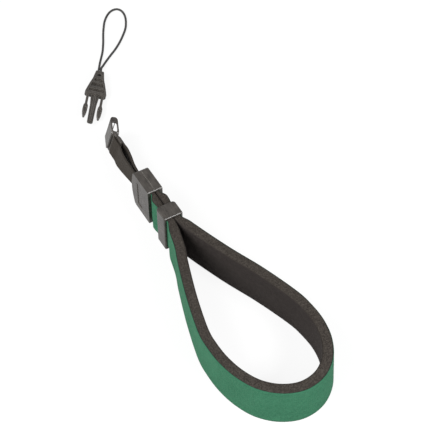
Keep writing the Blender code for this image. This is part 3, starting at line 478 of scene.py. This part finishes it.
def ring_faces(rows, sides, start=0):
    """Quads round a tube of rows, with caps of quads folded shut at both ends."""
    faces = []
    for i in range(rows - 1):
        a = start + i * sides
        for k in range(sides):
            n = (k + 1) % sides
            faces.append((a + k, a + n, a + sides + n, a + sides + k))
    for base, flip in ((start, True), (start + (rows - 1) * sides, False)):
        low, high = 0, sides - 1
        while high - low > 1:
            quad = (base + low, base + low + 1, base + high - 1, base + high)
            faces.append(quad[::-1] if flip else quad)
            low += 1
            high -= 1
    return faces


def point_outwards(piece):
    """Turn all faces of a closed piece outwards."""
    bm = bmesh.new()
    bm.from_mesh(piece.data)
    bmesh.ops.recalc_face_normals(bm, faces=bm.faces)
    bm.to_mesh(piece.data)
    bm.free()


def drill(piece, places):
    """Cut round holes along X through a piece, at places given in the strap's own plan."""
    for y, z in places:
        bm = bmesh.new()
        turn = Matrix.Translation(ZERO + Vector((0.0, y, z))) @ Matrix.Rotation(math.pi / 2, 4, "Y")
        bmesh.ops.create_cone(bm, cap_ends=True, segments=PEG_HOLE_SIDES, radius1=PEG_HOLE_RADIUS,
                              radius2=PEG_HOLE_RADIUS, depth=PEG_REACH, matrix=turn)
        data = bpy.data.meshes.new("drill")
        bm.to_mesh(data)
        bm.free()
        cutter = bpy.data.objects.new("drill", data)
        bpy.context.scene.collection.objects.link(cutter)
        hole = piece.modifiers.new("hole", "BOOLEAN")
        hole.object = cutter
        hole.operation = "DIFFERENCE"
        hole.solver = "EXACT"
        bpy.context.view_layer.update()
        shaped = piece.evaluated_get(bpy.context.evaluated_depsgraph_get())
        cut = bpy.data.meshes.new_from_object(shaped)
        piece.modifiers.clear()
        old = piece.data
        piece.data = cut
        bpy.data.meshes.remove(old)
        bpy.data.objects.remove(cutter, do_unlink=True)
    clean_cuts(piece)


def clean_cuts(piece):
    """Join points that lie as good as together, and take out slivers that are folded flat."""
    bm = bmesh.new()
    bm.from_mesh(piece.data)
    bmesh.ops.remove_doubles(bm, verts=bm.verts, dist=WELD_REACH)
    bmesh.ops.dissolve_degenerate(bm, edges=bm.edges, dist=WELD_REACH)
    bmesh.ops.triangulate(bm, faces=[face for face in bm.faces if len(face.verts) > 3])
    corners = {}
    for face in bm.faces:
        corners.setdefault(frozenset(face.verts), []).append(face)
    folded = [face for faces in corners.values() if len(faces) > 1 for face in faces]
    bmesh.ops.delete(bm, geom=folded, context="FACES")
    bm.to_mesh(piece.data)
    bm.free()


def band_point(row, depth, height):
    """A point of the band at a depth from its middle and a height, with its lower edge flared."""
    _, centre, outward, _, low, high, flare = row
    spread = flare * (high - height) / (high - low)
    flat = centre + outward * (depth + spread)
    return (flat.x, flat.y, height)


def build_foam(name, parts, material):
    """Foam core: its cut rims are rough with open cells, its glued sides are plain."""
    vertices, faces, uvw = [], [], []
    for rows in parts:
        start = len(vertices)
        for row in rows:
            distance, _, _, thickness, low, high, _ = row
            half = thickness / 2 - SKIN - SKIN_GAP
            ring = []
            for k in range(RIM_POINTS):
                across = -1 + 2 * k / (RIM_POINTS - 1)
                ring.append((across * half, high, 1))
            for k in range(1, FOAM_SIDE_POINTS):
                ring.append((half, high + (low - high) * k / FOAM_SIDE_POINTS, 0))
            for k in range(RIM_POINTS):
                across = 1 - 2 * k / (RIM_POINTS - 1)
                ring.append((across * half, low, -1))
            for k in range(1, FOAM_SIDE_POINTS):
                ring.append((-half, low + (high - low) * k / FOAM_SIDE_POINTS, 0))
            for depth, height, rim in ring:
                if rim:
                    edge = max(0.0, abs(depth) - (half - FOAM_ROUND)) / FOAM_ROUND
                    sink = FOAM_ROUND * FOAM_ROUND_SINK * edge * edge
                    cells = foam_relief(distance, depth, height)
                    sink += FOAM_PIT * min(max(cells, 0.0), 1.0) * (1 - 0.5 * edge)
                    height -= rim * sink
                vertices.append(band_point(row, depth, height))
                uvw.append((distance, height, depth))
        faces += ring_faces(len(rows), len(ring), start)
    piece = mesh_piece(name, [tuple(ZERO + Vector(v)) for v in vertices], faces, uvw, material)
    point_outwards(piece)
    return piece


def build_skin(name, parts, side, material):
    """Knitted skin on one side of the foam: 1 is the outside, -1 the inside of the band."""
    vertices, faces, uvw = [], [], []
    for rows in parts:
        start = len(vertices)
        for row in rows:
            distance, _, _, thickness, low, high, _ = row
            low = low + SKIN_INSET
            high = high - SKIN_INSET
            ring = []
            for k in range(SKIN_POINTS):
                share = 0.5 - 0.5 * math.cos(math.pi * k / (SKIN_POINTS - 1))
                share = SKIN_EDGE_CROWDING * share + (1 - SKIN_EDGE_CROWDING) * k / (SKIN_POINTS - 1)
                height = low + (high - low) * share
                edge = max(0.0, 1 - min(height - low, high - height) / SKIN_ROUND)
                sink = SKIN_ROUND * SKIN_ROUND_SINK * (1 - math.sqrt(max(0.0, 1 - edge * edge)))
                spot = Vector((distance, height, side * FABRIC_SIDE_SHIFT)) / FABRIC_WAVE_SIZE
                wave = noise.noise(spot) + FABRIC_FINE_SHARE * noise.noise(spot * FABRIC_FINE_RATIO)
                sink += FABRIC_WAVE * (0.5 + 0.5 * wave) * (1 - edge)
                ring.append((thickness / 2 - sink, height, edge))
            inner = thickness / 2 - SKIN
            for k in range(SKIN_BACK_POINTS):
                ring.append((inner, high + (low - high) * k / (SKIN_BACK_POINTS - 1), 1.0))
            for depth, height, cut in ring:
                vertices.append(band_point(row, side * depth, height))
                uvw.append((distance, height, cut))
        faces += ring_faces(len(rows), len(ring), start)
    piece = mesh_piece(name, [tuple(ZERO + Vector(v)) for v in vertices], faces, uvw, material)
    point_outwards(piece)
    return piece


def peg_places(y, spread):
    """The two places of a pair of pegs, one above the other."""
    return [(y, MID_HEIGHT - spread / 2), (y, MID_HEIGHT + spread / 2)]


def build_band(looks):
    """The laminated band in two pieces of each layer: the neck up to the slider, and the loop."""
    left, loop, right = split_rows(band_rows(BAND_STEP))
    for place, parts in (("neck", (left, right)), ("loop", (loop,))):
        foam = build_foam(f"{place}_foam", parts, looks["foam"])
        facing = build_skin(f"{place}_facing", parts, 1, looks["green_knit"])
        lining = build_skin(f"{place}_lining", parts, -1, looks["black_knit"])
        layers = (
            (foam, "band_foam", "foam"),
            (facing, "band_facing", "green_knit"),
            (lining, "band_lining", "black_knit"),
        )
        for piece, node, look in layers:
            if place == "neck":
                drill(piece, peg_places(BAND_PEG_Y, BAND_PEG_SPREAD))
                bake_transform(piece)
            else:
                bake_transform(piece)
            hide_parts(node)


def socket_frame():
    """The socket's own axes: X across its thickness, Y to the mouth, Z up its width."""
    heading = Matrix.Rotation(math.radians(-SOCKET_HEADING), 4, "Z")
    lean = Matrix.Rotation(math.radians(SOCKET_LEAN), 4, "Y")
    reach = SOCKET_WIDTH / 2 * math.cos(math.radians(SOCKET_LEAN))
    reach += SOCKET_THICKNESS / 2 * math.sin(math.radians(SOCKET_LEAN))
    return Matrix.Translation((*SOCKET_PLACE, SOCKET_LIFT + reach)) @ heading @ lean


def bar_frame():
    """The same axes turned by the kink at the socket's rear, where the bar is."""
    return socket_frame() @ Matrix.Rotation(math.radians(SOCKET_KINK), 4, "Z")


def webbing_rows(step):
    """Distance, middle, width way and outward way along the webbing, evenly spaced."""
    axes = bar_frame()
    lean_up = (axes.to_3x3() @ Vector((0, 0, 1))).normalized()
    upright = Vector((0, 0, 1))
    turn_radius = BAR_THICKNESS / 2 + FIT_CLEARANCE + WEB_THICKNESS / 2
    turn_centre = BAR_FRONT - WEB_TURN_INSET

    def half_way(side, way):
        """One layer from its end in the clamp to where its turn round the bar begins."""
        in_clamp = (WEB_END, (WEB_END + WEB_EXIT) / 2, WEB_EXIT)
        stops = [(Vector((side * WEB_LAYER, y, MID_HEIGHT)), 0.0) for y in in_clamp]
        leaves = stops[-1][0]
        meets = axes @ Vector((side * turn_radius, BAR_REAR - WEB_THICKNESS, 0.0))
        for share, sideways, upwards, lean in way:
            stops.append((leaves.lerp(meets, share) + Vector((sideways, 0.0, upwards)) * MM, lean))
        stops.append((meets, 1.0))
        for before in WEB_TURN_LEAD:
            stops.append((axes @ Vector((side * turn_radius, turn_centre - before, 0.0)), 1.0))
        return stops

    turn = []
    for i in range(1, WEB_TURN_STEPS):
        angle = math.pi * (1 - i / WEB_TURN_STEPS)
        spot = Vector((turn_radius * math.cos(angle), turn_centre + turn_radius * math.sin(angle), 0.0))
        turn.append((axes @ spot, 1.0))
    stops = half_way(-1, WEB_NEAR_WAY) + turn + half_way(1, WEB_FAR_WAY)[::-1]
    line = smooth_curve([point for point, _ in stops], CURVE_STEPS)
    leans = smooth_curve([Vector((lean, 0.0, 0.0)) for _, lean in stops], CURVE_STEPS)
    spans = [(b - a).length for a, b in zip(line, line[1:])]
    reached = np.concatenate([[0.0], np.cumsum(spans)])
    count = round(reached[-1] / step) + 1
    wanted = np.linspace(0.0, reached[-1], count)
    even = np.stack([np.interp(wanted, reached, [p[k] for p in line]) for k in range(3)], axis=1)
    lean = np.interp(wanted, reached, [v.x for v in leans])
    even = [Vector(p) for p in even]
    reach = max(1, round(WEB_BEND_REACH / step))
    rows = []
    for i, point in enumerate(even):
        along = (even[min(i + reach, count - 1)] - even[max(i - reach, 0)]).normalized()
        width_way = upright.lerp(lean_up, min(max(lean[i], 0.0), 1.0))
        width_way = (width_way - along * along.dot(width_way)).normalized()
        rows.append((wanted[i], point, width_way, along.cross(width_way).normalized()))
    return rows


def weave_relief(u, v):
    """How far the yarns of the webbing stand above their lowest places, from 0 to 1."""
    column = math.floor(v / WEB_YARN)
    within = v / WEB_YARN - column
    yarn = math.sin(math.pi * within) ** WEB_YARN_FULLNESS
    over = 0.5 + 0.5 * math.cos(2 * math.pi * (u / WEB_RIB + 0.5 * (column % 2)))
    return yarn * (WEB_YARN_UNDER + (1 - WEB_YARN_UNDER) * over)


def build_webbing(material):
    """Woven webbing with its yarns in the surface, from the clamp round the bar and back."""
    half_width = WEB_WIDTH / 2
    half_thick = WEB_THICKNESS / 2
    vertices, uvw = [], []
    rows = webbing_rows(WEB_STEP)
    for distance, point, up, out in rows:
        ring = []
        for side in (1, -1):
            for k in range(WEB_FACE_POINTS):
                v = side * (-half_width + WEB_WIDTH * k / (WEB_FACE_POINTS - 1))
                edge = max(0.0, abs(v) - (half_width - WEB_EDGE)) / WEB_EDGE
                fullness = math.sqrt(max(0.0, 1 - edge * edge))
                height = half_thick * (WEB_EDGE_SHARE + (1 - WEB_EDGE_SHARE) * fullness)
                offset = 0.0 if side > 0 else WEB_YARN / 2
                relief = weave_relief(distance, v + half_width + offset)
                height -= WEB_RELIEF * (1 - relief) * (1 - 0.5 * edge)
                ring.append((v, side * height, relief))
        for v, w, relief in ring:
            vertices.append(tuple(ZERO + point + up * v + out * w))
            uvw.append((distance, v, relief))
    faces = ring_faces(len(rows), len(ring))
    piece = mesh_piece("woven_webbing", vertices, faces, uvw, material)
    point_outwards(piece)
    drill(piece, peg_places(WEB_PEG_Y, WEB_PEG_SPREAD))
    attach(piece, "strap")
    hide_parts("webbing")


def braided_tube(name, line, radius, sides, material):
    """A closed tube along points, with the strands of a round braid in its surface."""
    vertices, uvw = [], []
    distance = 0.0
    ahead = (line[1] - line[0]).normalized()
    side_way = ahead.orthogonal().normalized()
    for i, point in enumerate(line):
        along = (line[min(i + 1, len(line) - 1)] - line[max(i - 1, 0)]).normalized()
        side_way = (side_way - along * along.dot(side_way)).normalized()
        other = along.cross(side_way)
        if i:
            distance += (point - line[i - 1]).length
        for k in range(sides):
            turn = 2 * math.pi * k / sides
            relief = braid(distance, turn)
            reach = radius * (1 - BRAID_DEPTH * (1 - relief))
            spot = point + side_way * (reach * math.cos(turn)) + other * (reach * math.sin(turn))
            vertices.append(tuple(spot))
            uvw.append((distance, turn, relief))
    piece = mesh_piece(name, vertices, ring_faces(len(line), sides), uvw, material)
    point_outwards(piece)
    return piece


def braid(distance, turn):
    """Height of a round braid's strands, from 0 to 1."""
    along = 2 * math.pi * distance / BRAID_PITCH
    one = math.cos(BRAID_STRANDS * turn + along)
    other = math.cos(BRAID_STRANDS * turn - along)
    return 0.5 + 0.5 * max(one, other)


def build_cord(material):
    """The braided cord loop on its route, and the knot of its two ends in the plug's window."""
    route = smooth_curve([ZERO + Vector(point) * MM for point in CORD_POINTS_MM], CORD_CURVE_STEPS)
    length = sum((b - a).length for a, b in zip(route, route[1:]))
    line = resample(route, round(length / CORD_STEP) + 1)
    cord = braided_tube("braided_cord", line, CORD_DIAMETER / 2, CORD_SIDES, material)
    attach(cord, "strap")
    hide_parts("cord_loop")
    knot = build_knot(material)


def build_knot(material):
    """A small overhand knot, drawn tight."""
    roll = math.radians(PLUG_ROLL)
    rest_height = PLUG_WIDTH / 2 * math.sin(roll) + PLUG_THICKNESS / 2 * math.cos(roll)
    place = Matrix.Translation((ZERO.x + PLUG_PLACE[0], ZERO.y + PLUG_PLACE[1], rest_height))
    heading = Matrix.Rotation(math.radians(-PLUG_HEADING), 4, "Z")
    axes = place @ heading @ Matrix.Rotation(roll, 4, "Y")
    middle = Vector((0.0, PLUG_LENGTH - KNOT_FROM_NOSE, 0.0))
    strand = KNOT_RADIUS * KNOT_STRAND_SHARE
    wide = KNOT_RADIUS - strand
    line = []
    for i in range(KNOT_STEPS + 1):
        t = 2 * math.pi * i / KNOT_STEPS * KNOT_SHARE_OF_ROUND
        x = math.sin(t) + 2 * math.sin(2 * t)
        y = math.cos(t) - 2 * math.cos(2 * t)
        z = -KNOT_HEIGHT * math.sin(3 * t)
        line.append(axes @ (middle + Vector((x, y, z)) * (wide / 3)))
    knot = braided_tube("tied_knot", line, strand, KNOT_SIDES, material)
    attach(knot, "strap")
    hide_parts("cord_knot")
    return knot


class Nodes:
    """Short way to put together a material's nodes."""

    def __init__(self, name):
        self.material = bpy.data.materials.new(name)
        self.material.use_nodes = True
        self.tree = self.material.node_tree
        self.shader = self.tree.nodes["Principled BSDF"]

    def put(self, kind, inputs=(), **settings):
        node = self.tree.nodes.new(kind)
        for name, value in settings.items():
            setattr(node, name, value)
        for key, value in dict(inputs).items():
            self.feed(node.inputs[key], value)
        return node

    def feed(self, socket, value):
        if isinstance(value, bpy.types.NodeSocket):
            self.tree.links.new(value, socket)
        else:
            socket.default_value = value

    def calc(self, operation, a, b=0.0, c=0.0):
        return self.put("ShaderNodeMath", {0: a, 1: b, 2: c}, operation=operation).outputs[0]

    def weigh(self, *parts):
        """Sum of values, each times its weight."""
        total = self.calc("MULTIPLY", *parts[0])
        for value, weight in parts[1:]:
            total = self.calc("ADD", total, self.calc("MULTIPLY", value, weight))
        return total

    def mix(self, share, a, b):
        """A colour between two others."""
        node = self.put("ShaderNodeMix", {0: share}, data_type="RGBA")
        self.feed(node.inputs[6], a)
        self.feed(node.inputs[7], b)
        return node.outputs[2]

    def tone(self, value, low, high, tones):
        """A surface's colour, from its darkest where the value is low to its lightest."""
        darkest, lightest = tones
        return self.mix(self.spread(value, low, high), colour(*darkest), colour(*lightest))

    def spread(self, value, low, high, to_low=0.0, to_high=1.0):
        """A value moved from one range to another, and kept inside it."""
        inputs = {0: value, 1: low, 2: high, 3: to_low, 4: to_high}
        return self.put("ShaderNodeMapRange", inputs).outputs[0]

    def noise(self, where, size, detail=3.0, rough=0.5):
        inputs = {"Vector": where, "Scale": 1.0 / size, "Detail": detail, "Roughness": rough}
        return self.put("ShaderNodeTexNoise", inputs).outputs[0]

    def cells(self, where, size):
        inputs = {"Vector": where, "Scale": 1.0 / size}
        return self.put("ShaderNodeTexVoronoi", inputs).outputs["Distance"]

    def scaled(self, where, scale):
        """Coordinates stretched or squeezed along each axis."""
        return self.put("ShaderNodeMapping", {"Vector": where, "Scale": scale}).outputs[0]

    def weave(self):
        """The piece's own coordinates: along, across, and the third value that it keeps."""
        return self.put("ShaderNodeAttribute", attribute_name="weave").outputs["Vector"]

    def split(self, vector):
        node = self.put("ShaderNodeSeparateXYZ", {0: vector})
        return node.outputs[0], node.outputs[1], node.outputs[2]

    def bump(self, height, distance, strength=1.0):
        inputs = {"Strength": strength, "Distance": distance, "Height": height}
        return self.put("ShaderNodeBump", inputs).outputs[0]

    def set(self, **values):
        names = {
            "colour": "Base Color",
            "rough": "Roughness",
            "normal": "Normal",
            "specular": "Specular IOR Level",
            "sheen": "Sheen Weight",
            "sheen_rough": "Sheen Roughness",
            "sheen_tint": "Sheen Tint",
        }
        for key, value in values.items():
            self.feed(self.shader.inputs[names[key]], value)
        return self.material


def colour(red, green, blue):
    return (red, green, blue, 1.0)


def knit_stitches(nodes, weave, wale, course):
    """Height of V-shaped stitches, from 0 to 1, with the width and height of a stitch."""
    along, across, _ = nodes.split(weave)
    legs = nodes.calc("FRACT", nodes.calc("DIVIDE", along, wale))
    legs = nodes.calc("MULTIPLY", nodes.calc("ABSOLUTE", nodes.calc("SUBTRACT", legs, 0.5)), 2.0)
    rows = nodes.calc("ADD", nodes.calc("DIVIDE", across, course), nodes.calc("MULTIPLY", legs, 0.6))
    loops = nodes.calc("SINE", nodes.calc("MULTIPLY", nodes.calc("FRACT", rows), math.pi))
    sides = nodes.calc("SINE", nodes.calc("MULTIPLY", legs, math.pi))
    swell = nodes.calc("MULTIPLY_ADD", sides, 0.6, 0.4)
    return nodes.calc("MULTIPLY", nodes.calc("POWER", loops, 0.7), swell)


def green_knit():
    nodes = Nodes("green_knit")
    weave = nodes.weave()
    _, _, cut = nodes.split(weave)
    stitch = knit_stitches(nodes, weave, wale=0.95 * MM, course=0.80 * MM)
    fine = nodes.noise(weave, size=0.9 * MM, detail=4.0, rough=0.65)
    mottle = nodes.noise(weave, size=2.2 * MM, detail=4.0, rough=0.65)
    broad = nodes.noise(weave, size=12.0 * MM, detail=2.0)
    # Colour is partly random mottle and partly painted shade: the stitches' low places, sunk by the bump, are
    # painted darker
    share = nodes.weigh((stitch, 0.25), (fine, 0.55), (mottle, 0.35), (broad, 0.20))
    fresh = nodes.tone(share, low=0.40, high=0.95, tones=GREEN_YARN)
    worn = nodes.mix(nodes.spread(cut, low=0.70, high=1.0), fresh, colour(*GREEN_CUT))
    fuzz = nodes.noise(weave, size=0.35 * MM, detail=2.0)
    height = nodes.calc("ADD", stitch, nodes.calc("MULTIPLY", fuzz, 0.6))
    rough = nodes.spread(mottle, low=0.3, high=0.7, to_low=0.86, to_high=1.0)
    return nodes.set(colour=worn, rough=rough, specular=0.10, sheen=0.08, sheen_rough=0.22,
                     sheen_tint=colour(*GREEN_SHEEN), normal=nodes.bump(height, 0.18 * MM, strength=0.9))


def black_knit():
    nodes = Nodes("black_knit")
    weave = nodes.weave()
    _, _, cut = nodes.split(weave)
    stitch = knit_stitches(nodes, weave, wale=0.80 * MM, course=0.70 * MM)
    mottle = nodes.noise(weave, size=2.6 * MM, detail=4.0, rough=0.6)
    # Colour is partly random mottle and partly painted shade: the stitches' low places, sunk by the bump, are
    # painted darker
    share = nodes.weigh((stitch, 0.25), (mottle, 0.8))
    fresh = nodes.tone(share, low=0.3, high=0.9, tones=BLACK_YARN)
    worn = nodes.mix(nodes.spread(cut, low=0.55, high=0.95), fresh, colour(*BLACK_CUT))
    fuzz = nodes.noise(weave, size=0.35 * MM, detail=2.0)
    height = nodes.calc("ADD", stitch, nodes.calc("MULTIPLY", fuzz, 0.4))
    rough = nodes.spread(mottle, low=0.3, high=0.7, to_low=0.84, to_high=1.0)
    return nodes.set(colour=worn, rough=rough, specular=0.10, sheen=0.03, sheen_rough=0.55,
                     sheen_tint=colour(*BLACK_SHEEN), normal=nodes.bump(height, 0.14 * MM, strength=0.7))


def foam():
    nodes = Nodes("foam")
    weave = nodes.weave()
    pits = nodes.cells(weave, size=0.80 * MM)
    fine = nodes.noise(weave, size=0.55 * MM, detail=4.0, rough=0.6)
    broad = nodes.noise(weave, size=5.0 * MM, detail=2.0)
    # Colour is partly random tone and partly painted shade: the pits and low places that the bump sinks are
    # painted darker
    share = nodes.weigh((pits, 0.50), (fine, 0.85), (broad, 0.20))
    shade = nodes.tone(share, low=0.45, high=1.05, tones=FOAM_TONES)
    height = nodes.calc("ADD", nodes.calc("MULTIPLY", pits, 0.8), fine)
    rough = nodes.spread(fine, low=0.3, high=0.7, to_low=0.85, to_high=1.0)
    return nodes.set(colour=shade, rough=rough, specular=0.10, normal=nodes.bump(height, 0.30 * MM))


def black_plastic():
    """Moulded plastic with a drawn grain, lighter and plainer on its edges: the lighter colour there is
    partly wear and partly a painted highlight.
    """
    nodes = Nodes("black_plastic")
    where = nodes.put("ShaderNodeTexCoord").outputs["Object"]
    grain = nodes.noise(where, size=0.32 * MM, detail=3.0, rough=0.6)
    flow = nodes.noise(nodes.scaled(where, (1.0, 0.20, 1.0)), size=1.1 * MM, detail=4.0, rough=0.65)
    broad = nodes.noise(where, size=5.0 * MM, detail=2.0)
    wear = nodes.noise(where, size=1.6 * MM, detail=5.0, rough=0.7)

    plain = nodes.put("ShaderNodeNewGeometry").outputs["Normal"]
    rounded = nodes.put("ShaderNodeBevel", {"Radius": 0.40 * MM}, samples=12).outputs[0]
    facing = nodes.put("ShaderNodeVectorMath", {0: plain, 1: rounded}, operation="DOT_PRODUCT")
    edge = nodes.spread(facing.outputs["Value"], low=0.985, high=0.84)
    # Edges are painted lighter: partly wear, partly a painted highlight where the edges catch the light
    edge_wear_and_highlight = nodes.calc("MULTIPLY", edge, nodes.spread(wear, low=0.25, high=0.55, to_low=0.45, to_high=1.0))

    tone = nodes.tone(nodes.calc("ADD", broad, flow), low=0.75, high=1.25, tones=PLASTIC_TONES)
    shade = nodes.mix(edge_wear_and_highlight, tone, colour(*PLASTIC_EDGE_WEAR_AND_HIGHLIGHT))
    rough = nodes.spread(flow, low=0.3, high=0.7, to_low=0.22, to_high=0.38)
    rough = nodes.calc("ADD", rough, nodes.calc("MULTIPLY", edge, 0.12))
    height = nodes.weigh((grain, 0.6), (flow, 0.8))
    strength = nodes.spread(edge, low=0.0, high=1.0, to_low=0.80, to_high=0.15)
    return nodes.set(colour=shade, rough=rough, specular=0.36, normal=nodes.bump(height, 0.05 * MM, strength))


def black_webbing():
    nodes = Nodes("black_webbing")
    weave = nodes.weave()
    _, _, relief = nodes.split(weave)
    mottle = nodes.noise(weave, size=1.8 * MM, detail=4.0, rough=0.6)
    threads = nodes.noise(nodes.scaled(weave, (0.25, 1.0, 1.0)), size=0.12 * MM, detail=2.0)
    # Colour is partly random mottle and partly painted shade: the low places between the yarns are painted
    # darker
    share = nodes.weigh((relief, 0.45), (mottle, 0.65))
    shade = nodes.tone(share, low=0.25, high=0.95, tones=WEBBING_TONES)
    rough = nodes.spread(mottle, low=0.3, high=0.7, to_low=0.70, to_high=0.90)
    return nodes.set(colour=shade, rough=rough, specular=0.18, sheen=0.03, sheen_rough=0.5,
                     sheen_tint=colour(*WEBBING_SHEEN), normal=nodes.bump(threads, 0.05 * MM, strength=0.6))


def black_cord():
    """Braided cord. Its second coordinate is an angle, so it is scaled down to a length."""
    nodes = Nodes("black_cord")
    weave = nodes.weave()
    _, _, relief = nodes.split(weave)
    threads = nodes.noise(nodes.scaled(weave, (1.0, 0.0006, 1.0)), size=0.15 * MM, detail=3.0)
    # Colour is partly random thread tone and partly painted shade: the grooves between the strands are
    # painted darker
    share = nodes.weigh((relief, 0.6), (threads, 0.5))
    shade = nodes.tone(share, low=0.2, high=0.95, tones=CORD_TONES)
    rough = nodes.spread(threads, low=0.3, high=0.7, to_low=0.60, to_high=0.80)
    return nodes.set(colour=shade, rough=rough, specular=0.30,
                     normal=nodes.bump(threads, 0.04 * MM, strength=0.6))


def dress_plastic(looks):
    """The moulded pieces stay the CAD's own and take the plastic's material."""
    for entry in frame["record"]["subparts"]:
        if entry["material_slot"] != "black_plastic":
            continue
        node = frame["nodes"][entry["node"]]
        node.data.materials.clear()
        node.data.materials.append(looks["black_plastic"])


def main():
    build_camera()
    makers = (green_knit, black_knit, foam, black_plastic, black_webbing, black_cord)
    looks = {maker.__name__: maker() for maker in makers}
    build_cord(looks["black_cord"])
    build_band(looks)
    build_webbing(looks["black_webbing"])
    dress_plastic(looks)
    build_floor()
    build_world()
    build_light("softbox", SOFTBOX)
    build_light("edge_light", EDGE_LIGHT)
    bpy.context.scene.view_settings.view_transform = "Standard"


main()
